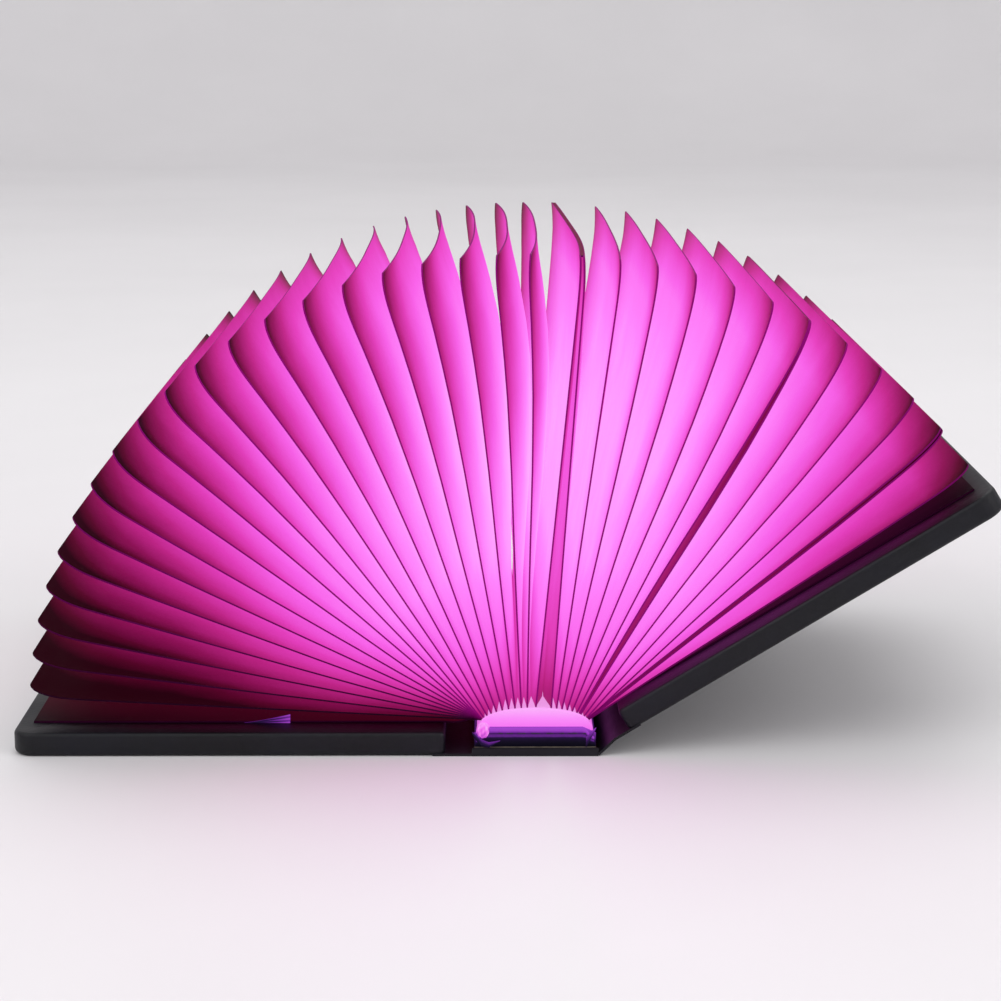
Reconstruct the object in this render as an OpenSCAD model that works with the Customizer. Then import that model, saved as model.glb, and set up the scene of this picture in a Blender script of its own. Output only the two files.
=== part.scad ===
// Folding book lamp that stands open: back cover flat, front cover raised, a fan of pages between.
// Sizes are millimetres and degrees. The spine lies along Y with its near end at -Y, and Z is up.
// The origin is the middle of the spine's underside.

/* [Covers] */
// Length of the covers along the spine
cover_l = 122; // [110:1:220]
// Width of a cover from its hinge axis to its free edge
cover_w = 92.3; // [91:0.1:110]
// Thickness of the board in a cover
board_t = 3.7; // [2.5:0.1:3.8]
// Thickness of the leather-like skin on covers and spine
skin_t = 0.5; // [0.3:0.05:0.6]
// Width of the skin that is turned in over the board's edges
turn_in_w = 8; // [4:0.5:14]
// Radius of a cover's two free corners
cover_corner_r = 4; // [1.5:0.5:8]
// Thickness of the paper end leaf on a cover's inner face
end_leaf_t = 0.3; // [0.2:0.05:0.4]
// Margin of cover past the end leaf at the free edge
end_leaf_margin = 3.2; // [2:0.1:8]

/* [Hinges] */
// Distance of each hinge axis from the middle of the spine
hinge_x = 9.3; // [9.2:0.1:10.5]
// Height of the hinge axes above the spine's underside
hinge_z = 4; // [3.6:0.1:4]
// Angle at which the front cover stands raised
front_raised = 31.5; // [0:0.5:60]
// Distance from a hinge axis to the cover's skin, where the flexible strip ends
skin_from = 5; // [4.9:0.1:6]
// Distance from a hinge axis to the cover's board
board_from = 8.7; // [7.5:0.1:12]

/* [Pages] */
// Margin of cover past a page at each end
page_margin = 2; // [2:0.5:10]
// Length of a page from its fold on the diffuser to its rim
page_l = 88; // [60:0.1:88.4]
// Thickness of a page, which is two layers of shade paper
page_t = 0.2; // [0.12:0.01:0.3]
// Radius of a page's two rim corners
page_corner_r = 2; // [0.5:0.5:6]
// Distance from a page's fold to the start of its stiff part, which the inner fold reaches up to
page_root = 7; // [6:0.5:10]
// Angle by which the first page beside the middle leans, towards the back cover
back_lean_first = 0.1; // [0:0.1:0.4]
// Step of that angle from page to page
back_lean_step = 3.3; // [3.2:0.01:3.34]
// Growth of that angle step from page to page
back_lean_growth = 0.16; // [0.155:0.001:0.162]
// Easing of that angle growth towards the cover
back_lean_easing = 0.0049; // [0.0048:0.0001:0.0055]
// Angle by which the first page beside the middle leans, towards the front cover
front_lean_first = 4.1; // [3.6:0.1:4.3]
// Step of that angle from page to page
front_lean_step = 3.75; // [3.5:0.01:3.77]
// Growth of that angle step from page to page
front_lean_growth = 0.088; // [0.08:0.001:0.089]
// Distance between the two layers of the open page, at its fold
open_fold_gap = 3; // [1:0.1:3.2]
// Distance between the two layers of the open page, at its rim
open_rim_gap = 0.7; // [0.3:0.1:1]
// Distance from a hinge axis to the lowest point of an end leaf's fold
leaf_dip_from = 4; // [3.8:0.1:4.6]
// Height of that point above the hinge axis
leaf_dip_z = 0.6; // [0.3:0.1:0.7]
// Distance of the outermost folds from the middle of the diffuser
fold_reach = 10.4; // [8:0.1:10.5]
// Angle on the diffuser at which the folds towards the back cover start
back_fold_from = 8.2; // [6:0.1:10]
// Ratio of the folds' angle on the diffuser to their pages' lean, towards the back cover
back_fold_spread = 1.9; // [1.8:0.05:2.2]
// Angle on the diffuser at which the folds towards the front cover start
front_fold_from = 11; // [10:0.1:14]
// Ratio of the folds' angle on the diffuser to their pages' lean, towards the front cover
front_fold_spread = 1.6; // [1.5:0.05:2]

/* [Spine] */
// Width of the spine's skin between the flexible strips
spine_w = 24.6; // [23.8:0.1:25]
// Thickness of the spine's board
spine_board_t = 1.1; // [0.8:0.1:1.5]
// Margin by which boards lie inside their skin
skin_margin = 0.5; // [0.3:0.1:1]
// Thickness of the lining round the diffuser's foot
lining_t = 0.4; // [0.2:0.05:0.5]
// Height of the lining along the spine's sides
lining_side_h = 1.6; // [1:0.1:2.5]
// Height of the lining across the spine's ends
lining_end_h = 3.9; // [3:0.1:4.5]
// Width of the sloped shoulders of the lining's ends
lining_shoulder = 2.5; // [1:0.1:5]
// Clearance between lining, diffuser and tray
seat_gap = 0.1; // [0.05:0.01:0.2]

/* [Diffuser] */
// Width of the diffuser
diffuser_w = 22.6; // [22:0.1:22.8]
// Margin of spine past the diffuser at each end
diffuser_margin = 1.7; // [1.5:0.1:1.9]
// Height of the diffuser's straight foot
foot_h = 2.9; // [2.5:0.1:3]
// Height of the diffuser's dome above its foot
dome_h = 4.5; // [4:0.1:4.6]
// Fullness of the dome, from 2 for an ellipse to squarer above it
dome_power = 2.3; // [2:0.1:3]
// Wall of the diffuser
diffuser_wall = 1; // [0.6:0.1:1]

/* [Electrical parts] */
// Wall of the tray
tray_wall = 0.8; // [0.6:0.1:1.2]
// Floor of the tray
tray_floor = 0.5; // [0.4:0.1:0.8]
// Height of the tray
tray_h = 3.3; // [3:0.1:3.4]
// Thickness of the foam pad under the cell
pad_t = 0.2; // [0.1:0.1:0.4]
// Length of the cell
cell_l = 62; // [30:1:80]
// Width of the cell
cell_w = 17; // [10:0.5:18]
// Thickness of the cell
cell_t = 2.3; // [1.5:0.1:2.3]
// Diameter of a cell lead
lead_d = 0.8; // [0.4:0.1:1]
// Distance between the two cell leads
lead_pitch = 3; // [1.5:0.1:6]
// Thickness of the circuit boards
pcb_t = 0.8; // [0.6:0.1:0.8]
// Seat of the LED board on each rim of the tray
pcb_seat = 0.3; // [0.2:0.05:0.5]
// Number of LEDs
led_count = 10; // [4:1:14]
// Side of a square LED
led_w = 5; // [2:0.1:5]
// Height of an LED
led_h = 1; // [0.5:0.1:1.4]
// Length of the control board
control_l = 11.5; // [10:0.5:14]
// Width of the control board
control_w = 13.5; // [9:0.5:14]
// Gap between the control board and what lies beside it in the tray
control_gap = 1.4; // [1:0.1:3]
// Side of the control board's chip
chip_w = 4; // [2:0.5:5]
// Height of the control board's chip
chip_h = 1; // [0.5:0.1:1.2]
// Width of the charging socket
socket_w = 7.5; // [7.5:0.1:9]
// Height of the charging socket
socket_h = 2.6; // [2.4:0.1:2.6]
// Depth of the charging socket
socket_l = 5; // [4.5:0.1:6]
// Wall of the charging socket
socket_wall = 0.3; // [0.2:0.05:0.4]
// Thickness of the tongue in the charging socket
tongue_t = 0.6; // [0.4:0.1:0.8]
// Diameter of the reed switch
reed_d = 1.8; // [1.5:0.1:2]
// Length of the reed switch
reed_l = 10; // [7:0.5:11]

/* [Magnets] */
// Diameter of a cover magnet
magnet_d = 8; // [4:0.5:12]
// Thickness of a cover magnet
magnet_t = 1.5; // [1:0.1:2]
// Clearance round a magnet in its pocket
magnet_gap = 0.1; // [0.05:0.01:0.3]
// Distance of the closing magnets from the free edge
magnet_inset = 10; // [7:0.5:20]
// Distance of the closing magnets from the ends of the cover
magnet_end = 16; // [8:1:30]

/* [Hidden] */
PAGES = 32;
BACK_PAGES = 20;
OPEN_PAGE = 20;
CORNER_STEPS = 5;
DOME_STEPS = 24;
CELL_BACK_OFF = 5;
SWITCH_MAGNET_FROM = 7;
CHIP_INSET = 1;
TONGUE_INSET = 1;
OVERCUT = 1;
ROUND_STEPS = 48;
cover_t = skin_t + board_t + skin_t + end_leaf_t;
page_w = cover_l - 2 * page_margin;
diffuser_l = cover_l - 2 * diffuser_margin;
outer_z = -hinge_z;
board_z = outer_z + skin_t;
turn_in_z = board_z + board_t;
end_leaf_z = turn_in_z + skin_t;
spine_top = skin_t + spine_board_t;
dome_z = spine_top + foot_h;
tray_w = diffuser_w - 2 * diffuser_wall - 2 * seat_gap;
tray_l = diffuser_l - 2 * diffuser_wall - 2 * seat_gap;
tray_inner_z = spine_top + tray_floor;
tray_top = spine_top + tray_h;
lining_w = diffuser_w + 2 * seat_gap + 2 * lining_t;
lining_l = diffuser_l + 2 * seat_gap + 2 * lining_t;
cell_z = tray_inner_z + pad_t;
control_end = tray_l / 2 - tray_wall - seat_gap;
control_start = control_end - control_l;
socket_z = tray_inner_z + pcb_t;
led_end = control_start - control_gap;
led_start = -tray_l / 2 + tray_wall;
cell_end = control_start - CELL_BACK_OFF;
fold_clear = 0.12;
fold_layer = fold_clear + page_t;
fold_end_gap = 0.2;
split_gap = 0.05;

// Height of the dome's surface over x, for a dome of the given half width and height
function dome(x, half, h) = h * pow(1 - pow(min(abs(x) / half, 1), dome_power), 1 / dome_power);
function diffuser_surface(x) = dome_z + dome(x, diffuser_w / 2, dome_h);

// Lean of page i from upright, where page 0 lies nearest the back cover
function is_back(i) = i < BACK_PAGES;
function from_middle(i) = is_back(i) ? BACK_PAGES - 1 - i : i - BACK_PAGES;
function back_lean(j) = back_lean_first + back_lean_step * j + back_lean_growth * j * j
  - back_lean_easing * j * j * j;
function front_lean(j) = front_lean_first + front_lean_step * j + front_lean_growth * j * j;
function lean(i) = is_back(i) ? back_lean(from_middle(i)) : front_lean(from_middle(i));

// Each half of the fan is worked out on the back side, and stands on folds that lie on the diffuser
function fold_turn(i) = is_back(i) ? back_fold_from + back_fold_spread * lean(i)
  : front_fold_from + front_fold_spread * lean(i);
function fold_x(i) = -fold_reach * sin(min(90, fold_turn(i)));
function fold_point(x) = [x, diffuser_surface(x) + fold_clear + page_t / 2];
function along(i) = [-sin(lean(i)), cos(lean(i))];
function across(i) = [cos(lean(i)), sin(lean(i))];
function on_page(i, s, n) = fold_point(fold_x(i)) + s * along(i) + n * across(i);
function open_gap(s) = open_fold_gap + (open_rim_gap - open_fold_gap) * s / page_l;

// A corner of a rounded outline: points on an arc from angle a, a quarter turn on
function corner(x, y, r, a) = [
  for (k = [0 : CORNER_STEPS])
    let(b = a + 90 * k / CORNER_STEPS)
    [x + r * cos(b), y + r * sin(b)]
];
// A panel from x0 to x1 and half_y to each side, with its two corners at x1 rounded
function panel_points(x0, x1, half_y, r) = concat(
  [[x0, -half_y]],
  corner(x1 - r, -half_y + r, r, -90),
  corner(x1 - r, half_y - r, r, 0),
  [[x0, half_y]]
);

module panel(x0, x1, half_y, r, z0, t) {
  translate([0, 0, z0]) linear_extrude(t) polygon(panel_points(x0, x1, half_y, r));
}

module back_side() {
  translate([-hinge_x, 0, hinge_z]) mirror([1, 0, 0]) children();
}

module front_side() {
  translate([hinge_x, 0, hinge_z]) rotate([0, -front_raised, 0]) children();
}

module block(x, y, z0, h) {
  translate([-x / 2, -y / 2, z0]) cube([x, y, h]);
}

// A box on the far end's side, from y0 to y1
module far_block(x, y0, y1, z0, h) {
  translate([-x / 2, y0, z0]) cube([x, y1 - y0, h]);
}

// The opening in an end wall that the charging socket passes through
module socket_opening() {
  w = socket_w + 2 * seat_gap;
  h = socket_h + 2 * seat_gap;
  far_block(w, control_end - seat_gap, cover_l / 2, socket_z - seat_gap, h);
}

// The spine's skin is turned up over the ends of the board
module spine_skin() {
  color("#15151c") difference() {
    block(spine_w, cover_l, 0, spine_top);
    block(spine_w + 2 * OVERCUT, cover_l - 2 * skin_margin, skin_t, spine_top);
  }
}

module spine_board() {
  color("#6b6259") block(spine_w - 2 * skin_margin, cover_l - 2 * skin_margin, skin_t, spine_board_t);
}

module lining_end() {
  rise = lining_end_h - lining_side_h;
  half = lining_w / 2;
  rotate([90, 0, 0]) linear_extrude(lining_t) polygon([
    [-half, 0], [half, 0], [half, lining_end_h - rise / 2], [half - lining_shoulder, lining_end_h],
    [-half + lining_shoulder, lining_end_h], [-half, lining_end_h - rise / 2]
  ]);
}

module spine_lining() {
  color("#7a34b0") difference() {
    translate([0, 0, spine_top]) union() {
      difference() {
        block(lining_w, lining_l, 0, lining_side_h);
        block(lining_w - 2 * lining_t, lining_l - 2 * lining_t, -OVERCUT, lining_side_h + 2 * OVERCUT);
      }
      translate([0, -lining_l / 2 + lining_t, 0]) lining_end();
      translate([0, lining_l / 2, 0]) lining_end();
    }
    socket_opening();
  }
}

// Outline of a loaf: a straight foot with the dome on it
function loaf_points(half, foot, h) = concat(
  [[half, 0]],
  [for (k = [0 : DOME_STEPS]) let(x = half * cos(180 * k / DOME_STEPS)) [x, foot + dome(x, half, h)]],
  [[-half, 0]]
);

module loaf(half, foot, h, l) {
  rotate([90, 0, 0]) linear_extrude(l, center = true) polygon(loaf_points(half, foot, h));
}

module diffuser() {
  inner_half = diffuser_w / 2 - diffuser_wall;
  inner_l = diffuser_l - 2 * diffuser_wall;
  color("#ffc8ff") difference() {
    translate([0, 0, spine_top]) loaf(diffuser_w / 2, foot_h, dome_h, diffuser_l);
    translate([0, 0, spine_top - OVERCUT])
      loaf(inner_half, foot_h + OVERCUT, dome_h - diffuser_wall, inner_l);
    socket_opening();
  }
}

module tray() {
  color("#e8e8e4") difference() {
    block(tray_w, tray_l, spine_top, tray_h);
    block(tray_w - 2 * tray_wall, tray_l - 2 * tray_wall, tray_inner_z, tray_h);
    socket_opening();
  }
}

module cell_pad() {
  color("#404040") far_block(cell_w, cell_end - cell_l, cell_end, tray_inner_z, pad_t);
}

module cell() {
  color("#b8bcc0") far_block(cell_w, cell_end - cell_l, cell_end, cell_z, cell_t);
}

module cell_leads() {
  color("#b02020") for (x = [-lead_pitch / 2, lead_pitch / 2])
    translate([x, cell_end, cell_z + lead_d / 2]) rotate([-90, 0, 0])
      cylinder(d = lead_d, h = control_start - cell_end, $fn = ROUND_STEPS / 2);
}

module led_board() {
  color("#f0f0ea")
    far_block(tray_w - 2 * tray_wall + 2 * pcb_seat, led_start, led_end, tray_top, pcb_t);
}

module leds() {
  pitch = (led_end - led_start) / led_count;
  color("#ff60ff") for (k = [0 : led_count - 1])
    translate([0, led_start + (k + 0.5) * pitch, 0]) block(led_w, led_w, tray_top + pcb_t, led_h);
}

module control_board() {
  chip_start = control_start + CHIP_INSET;
  color("#206040") union() {
    far_block(control_w, control_start, control_end, tray_inner_z, pcb_t);
    far_block(chip_w, chip_start, chip_start + chip_w, socket_z, chip_h);
  }
}

module charging_socket() {
  mouth = lining_l / 2;
  inner_y = mouth - socket_l + socket_wall;
  tongue_z = socket_z + (socket_h - tongue_t) / 2;
  inner_w = socket_w - 2 * socket_wall;
  inner_h = socket_h - 2 * socket_wall;
  color("#c8c8c8") union() {
    difference() {
      far_block(socket_w, mouth - socket_l, mouth, socket_z, socket_h);
      far_block(inner_w, inner_y, mouth + OVERCUT, socket_z + socket_wall, inner_h);
    }
    far_block(inner_w / 2, inner_y, mouth - TONGUE_INSET, tongue_z, tongue_t);
  }
}

module reed_switch() {
  x = (tray_w / 2 - tray_wall + control_w / 2) / 2;
  color("#a0c0c0") translate([x, control_end - reed_l, tray_inner_z + reed_d / 2]) rotate([-90, 0, 0])
    cylinder(d = reed_d, h = reed_l, $fn = ROUND_STEPS / 2);
}

// The flexible strip from the spine's skin to the skin of a cover that is raised by an angle.
// It is drawn on the front side.
module hinge_strip(raised) {
  low = [skin_from, outer_z];
  high = [skin_from, board_z];
  turn = [[cos(raised), -sin(raised)], [sin(raised), cos(raised)]];
  axis = [hinge_x, hinge_z];
  rotate([90, 0, 0]) linear_extrude(cover_l, center = true)
    polygon([[spine_w / 2, 0], axis + turn * low, axis + turn * high, [spine_w / 2, skin_t]]);
}

module back_hinge_strip() {
  color("#15151c") mirror([1, 0, 0]) hinge_strip(0);
}

module front_hinge_strip() {
  color("#15151c") hinge_strip(front_raised);
}

// A stretch of paper between two points, which stops a little short of the second one
module fold_web(start, to, short) {
  way = (to - start) / norm(to - start);
  side = [-way[1], way[0]] * page_t / 2;
  end = to - short * way;
  polygon([start - side, start + side, end + side, end - side]);
}

// The folds of one half of the fan, drawn on the back side: first and last are its page numbers.
// The end leaf's fold dips on its way to the cover, which is raised by an angle.
module inner_folds(first, last, middle_x, raised) {
  turn = [[-cos(raised), sin(raised)], [sin(raised), cos(raised)]];
  leaf_dip = hinge_point() + turn * [leaf_dip_from, leaf_dip_z];
  leaf_edge = hinge_point() + turn * [board_from, end_leaf_z + end_leaf_t / 2];
  edge_x = -fold_reach - page_t;
  steps = DOME_STEPS / 2;
  xs = [for (k = [0 : steps]) edge_x + (middle_x - edge_x) * k / steps];
  top = [for (x = xs) [x, diffuser_surface(x) + fold_layer]];
  under = [for (k = [steps : -1 : 0]) [xs[k], diffuser_surface(xs[k]) + fold_clear]];
  rotate([90, 0, 0]) linear_extrude(page_w, center = true) union() {
    polygon(concat(top, under));
    for (i = [first : last]) fold_web(on_page(i, 0, 0), on_page(i, page_root, 0), fold_end_gap);
    fold_web(fold_point(-fold_reach), leaf_dip, 0);
    fold_web(leaf_dip, leaf_edge, fold_end_gap);
    children();
  }
}

// The open page's second layer stands on a fold of its own, beside the middle
module open_fold() {
  start = fold_point(on_page(OPEN_PAGE, 0, open_fold_gap)[0]);
  fold_web(start, on_page(OPEN_PAGE, page_root, open_gap(page_root)), fold_end_gap);
}

middle_of_folds = (fold_x(BACK_PAGES - 1) - on_page(OPEN_PAGE, 0, open_fold_gap)[0]) / 2;

module back_inner_folds() {
  color("#ff70ff") inner_folds(0, BACK_PAGES - 1, middle_of_folds - split_gap, 0);
}

module front_inner_folds() {
  color("#ff70ff") mirror([1, 0, 0])
    inner_folds(BACK_PAGES, PAGES - 1, -middle_of_folds - split_gap, front_raised) open_fold();
}

// The covers are drawn from the hinge axis at the origin towards a free edge at +X, inner face up
module magnet_places() {
  for (y = [-1, 1]) translate([cover_w - magnet_inset, y * (cover_l / 2 - magnet_end), board_z]) children();
}

module switch_magnet_place() {
  translate([board_from + SWITCH_MAGNET_FROM, cover_l / 2 - magnet_end, board_z]) children();
}

module magnet_pocket() {
  d = magnet_d + 2 * magnet_gap;
  translate([0, 0, -OVERCUT]) cylinder(d = d, h = magnet_t + magnet_gap + OVERCUT, $fn = ROUND_STEPS);
}

module magnet() {
  cylinder(d = magnet_d, h = magnet_t, $fn = ROUND_STEPS);
}

module cover_board() {
  panel(board_from, cover_w - skin_t, cover_l / 2 - skin_t, cover_corner_r - skin_t, board_z, board_t);
}

module cover_skin() {
  difference() {
    union() {
      panel(skin_from, cover_w, cover_l / 2, cover_corner_r, outer_z, skin_t);
      panel(board_from, cover_w, cover_l / 2, cover_corner_r, outer_z, end_leaf_z - outer_z);
    }
    cover_board();
    translate([board_from - OVERCUT, -cover_l / 2 + turn_in_w, turn_in_z - OVERCUT])
      cube([cover_w - turn_in_w - board_from + OVERCUT, cover_l - 2 * turn_in_w, skin_t + 2 * OVERCUT]);
  }
}

module end_leaf() {
  pad_half = cover_l / 2 - turn_in_w - seat_gap;
  translate([board_from, -page_w / 2, end_leaf_z])
    cube([cover_w - end_leaf_margin - board_from, page_w, end_leaf_t]);
  translate([board_from, -pad_half, turn_in_z])
    cube([cover_w - turn_in_w - seat_gap - board_from, 2 * pad_half, skin_t]);
}

module back_board() {
  color("#6b6259") back_side() difference() {
    cover_board();
    magnet_places() magnet_pocket();
  }
}

module back_skin() {
  color("#15151c") back_side() cover_skin();
}

module back_end_leaf() {
  color("#7a0a30") back_side() end_leaf();
}

module back_magnets() {
  color("#b0b0b4") back_side() magnet_places() magnet();
}

module front_board() {
  color("#6b6259") front_side() difference() {
    cover_board();
    magnet_places() magnet_pocket();
    switch_magnet_place() magnet_pocket();
  }
}

module front_skin() {
  color("#15151c") front_side() cover_skin();
}

module front_end_leaf() {
  color("#e050c0") front_side() end_leaf();
}

module front_magnets() {
  color("#b0b0b4") front_side() union() {
    magnet_places() magnet();
    switch_magnet_place() magnet();
  }
}

// A sheet of thickness t that stands upright from its fold at the origin
module page_sheet(t) {
  outline = panel_points(page_root, page_l, page_w / 2, page_corner_r);
  translate([-t / 2, 0, 0]) rotate([90, 0, 90]) linear_extrude(t) polygon([for (p = outline) [p[1], p[0]]]);
}

// Page i's place: it leans over from its fold on the diffuser
module page_place(i) {
  fold = on_page(i, 0, 0);
  mirror([is_back(i) ? 0 : 1, 0, 0]) translate([fold[0], 0, fold[1]]) rotate([0, -lean(i), 0]) children();
}

module page(i) {
  color("#f060e0") page_place(i) page_sheet(page_t);
}

// The page beside the middle stands open: its two layers meet only at the rim
module open_page() {
  half = page_t / 2;
  top = page_l - page_t;
  color("#f060e0") page_place(OPEN_PAGE) intersection() {
    page_sheet(4 * open_fold_gap);
    rotate([90, 0, 0]) linear_extrude(cover_l, center = true) polygon([
      [-half, 0], [half, 0], [half, top], [open_gap(top) - half, top],
      [open_gap(0) - half, 0], [open_gap(0) + half, 0], [open_gap(page_l) + half, page_l], [-half, page_l]
    ]);
  }
}

spine_skin();
spine_board();
spine_lining();
diffuser();
tray();
cell();
cell_pad();
cell_leads();
led_board();
leds();
control_board();
charging_socket();
reed_switch();
back_hinge_strip();
front_hinge_strip();
back_inner_folds();
front_inner_folds();
back_board();
back_skin();
back_end_leaf();
back_magnets();
front_board();
front_skin();
front_end_leaf();
front_magnets();
page(0);  // page_01
page(1);  // page_02
page(2);  // page_03
page(3);  // page_04
page(4);  // page_05
page(5);  // page_06
page(6);  // page_07
page(7);  // page_08
page(8);  // page_09
page(9);  // page_10
page(10);  // page_11
page(11);  // page_12
page(12);  // page_13
page(13);  // page_14
page(14);  // page_15
page(15);  // page_16
page(16);  // page_17
page(17);  // page_18
page(18);  // page_19
page(19);  // page_20
open_page();  // page_21
page(21);  // page_22
page(22);  // page_23
page(23);  // page_24
page(24);  // page_25
page(25);  // page_26
page(26);  // page_27
page(27);  // page_28
page(28);  // page_29
page(29);  // page_30
page(30);  // page_31
page(31);  // page_32
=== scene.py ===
import math

import bpy
import numpy as np
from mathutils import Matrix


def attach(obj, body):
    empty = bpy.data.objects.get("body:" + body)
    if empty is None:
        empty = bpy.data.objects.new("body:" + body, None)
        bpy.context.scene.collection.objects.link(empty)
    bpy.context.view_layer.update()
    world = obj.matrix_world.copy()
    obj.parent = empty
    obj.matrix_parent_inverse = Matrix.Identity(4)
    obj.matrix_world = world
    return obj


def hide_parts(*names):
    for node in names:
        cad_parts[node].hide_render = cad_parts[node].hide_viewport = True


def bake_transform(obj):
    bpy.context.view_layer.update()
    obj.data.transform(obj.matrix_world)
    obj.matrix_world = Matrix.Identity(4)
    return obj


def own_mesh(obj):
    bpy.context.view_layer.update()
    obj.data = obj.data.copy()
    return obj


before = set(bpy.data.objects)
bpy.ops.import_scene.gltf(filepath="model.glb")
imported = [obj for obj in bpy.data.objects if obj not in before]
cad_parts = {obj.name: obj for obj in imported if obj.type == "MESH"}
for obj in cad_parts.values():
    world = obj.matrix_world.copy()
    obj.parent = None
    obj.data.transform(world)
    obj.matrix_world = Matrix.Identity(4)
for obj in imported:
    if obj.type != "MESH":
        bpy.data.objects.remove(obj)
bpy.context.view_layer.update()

# Sizes are millimetres and degrees until a mesh is made.
MM = 0.001

# part.scad's sizes
COVER_L, COVER_W = 122.0, 92.3
BOARD_T, SKIN_T = 3.7, 0.5
TURN_IN_W, COVER_CORNER_R = 8.0, 4.0
END_LEAF_T, END_LEAF_MARGIN = 0.3, 3.2
HINGE_X, HINGE_Z = 9.3, 4.0
FRONT_RAISED = 31.5
SKIN_FROM, BOARD_FROM = 5.0, 8.7
PAGES, BACK_PAGES, OPEN_PAGE = 32, 20, 20
PAGE_L, PAGE_T, PAGE_MARGIN, PAGE_CORNER_R, PAGE_ROOT = 88.0, 0.2, 2.0, 2.0, 7.0
BACK_LEAN_FIRST, BACK_LEAN_STEP, BACK_LEAN_GROWTH, BACK_LEAN_EASING = 0.1, 3.3, 0.16, 0.0049
FRONT_LEAN_FIRST, FRONT_LEAN_STEP, FRONT_LEAN_GROWTH = 4.1, 3.75, 0.088
OPEN_FOLD_GAP, OPEN_RIM_GAP = 3.0, 0.7
LEAF_DIP_FROM, LEAF_DIP_Z = 4.0, 0.6
FOLD_REACH = 10.4
BACK_FOLD_FROM, BACK_FOLD_SPREAD = 8.2, 1.9
FRONT_FOLD_FROM, FRONT_FOLD_SPREAD = 11.0, 1.6
SPINE_W, SPINE_BOARD_T = 24.6, 1.1
LINING_T, SEAT_GAP = 0.4, 0.1
DIFFUSER_W, DIFFUSER_MARGIN = 22.6, 1.7
FOOT_H, DOME_H, DOME_POWER = 2.9, 4.5, 2.3
FOLD_CLEAR = 0.12

OUTER_Z = -HINGE_Z
END_LEAF_Z = OUTER_Z + SKIN_T + BOARD_T + SKIN_T
PAGE_HALF = COVER_L / 2 - PAGE_MARGIN
DIFFUSER_HALF = COVER_L / 2 - DIFFUSER_MARGIN
SPINE_TOP = SKIN_T + SPINE_BOARD_T
DOME_Z = SPINE_TOP + FOOT_H

# The end leaves lap over the edge of the turned-in skin.
LEAF_LAP = 0.6
END_LEAF_HALF = COVER_L / 2 - TURN_IN_W + LEAF_LAP


# Shape of the fan

def diffuser_surface(x):
    """The height of the diffuser's dome at x from the middle of the spine."""
    across = min(abs(x) / (DIFFUSER_W / 2), 1)
    return DOME_Z + DOME_H * (1 - across ** DOME_POWER) ** (1 / DOME_POWER)


def side_of(i):
    return -1 if i < BACK_PAGES else 1


def lean(i):
    """How far page i leans from upright towards its own cover."""
    if i < BACK_PAGES:
        k = BACK_PAGES - 1 - i
        return BACK_LEAN_FIRST + BACK_LEAN_STEP * k + BACK_LEAN_GROWTH * k * k - BACK_LEAN_EASING * k ** 3
    k = i - BACK_PAGES
    return FRONT_LEAN_FIRST + FRONT_LEAN_STEP * k + FRONT_LEAN_GROWTH * k * k


def fold_x(i):
    if i < BACK_PAGES:
        turn = BACK_FOLD_FROM + BACK_FOLD_SPREAD * lean(i)
    else:
        turn = FRONT_FOLD_FROM + FRONT_FOLD_SPREAD * lean(i)
    return side_of(i) * FOLD_REACH * math.sin(math.radians(min(90, turn)))


def fold_point(x):
    return np.array([x, diffuser_surface(x) + FOLD_CLEAR + PAGE_T / 2])


class Page:
    """The plane of page i: its fold, the way out along it, and the way across it to the fan's middle."""

    def __init__(self, i):
        self.i = i
        self.side = side_of(i)
        a = math.radians(lean(i))
        self.along = np.array([self.side * math.sin(a), math.cos(a)])
        self.across = np.array([-self.side * math.cos(a), math.sin(a)])
        self.fold = fold_point(fold_x(i))

    def at(self, s, n=0.0):
        return self.fold + s * self.along + n * self.across


PLANES = [Page(i) for i in range(PAGES)]


# Numbers and tables

def smoothstep(t):
    t = min(max(t, 0.0), 1.0)
    return t * t * (3 - 2 * t)


def mix(a, b, t):
    return a + (b - a) * t


def look_up(table, place):
    """The value at a place, from a table of places and their values."""
    return float(np.interp(place, list(table), list(table.values())))


def steps(a, b, n):
    """n places from a on, which stop one step before b."""
    return [a + (b - a) * k / n for k in range(n)]


def both_ways(n):
    """Places from -1 to 1 in n steps."""
    return [-1 + 2 * k / n for k in range(n + 1)]


# Meshes

class Build:
    """Points, faces, slots and glow of a mesh that is put together from several grids."""

    def __init__(self):
        self.points, self.faces, self.slots, self.glow = [], [], [], []

    def grid(self, rows, slot=0, glow=0.0, flip=False):
        """Faces between rows of points. Returns the rows' point numbers."""
        start, n = len(self.points), len(rows[0])
        numbers = []
        for a, row in enumerate(rows):
            self.points.extend(row)
            self.glow.extend(glow[a] if isinstance(glow, list) else [glow] * n)
            numbers.append(list(range(start + a * n, start + (a + 1) * n)))
        for lo, hi in zip(numbers, numbers[1:]):
            for k in range(n - 1):
                face = (lo[k], lo[k + 1], hi[k + 1], hi[k])
                self.faces.append(face[::-1] if flip else face)
                self.slots.append(slot)
        return numbers

    def cap(self, face):
        self.faces.append(tuple(face))
        self.slots.append(0)

    def make(self, name, materials):
        """The mesh object, in metres."""
        mesh = bpy.data.meshes.new(name)
        mesh.from_pydata([tuple(c * MM for c in p) for p in self.points], [], self.faces)
        for m in materials:
            mesh.materials.append(m)
        mesh.polygons.foreach_set("material_index", self.slots)
        mesh.polygons.foreach_set("use_smooth", [True] * len(self.faces))
        mesh.attributes.new("glow", "FLOAT", "POINT").data.foreach_set("value", self.glow)
        mesh.update()
        obj = bpy.data.objects.new(name, mesh)
        bpy.context.collection.objects.link(obj)
        return obj


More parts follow.
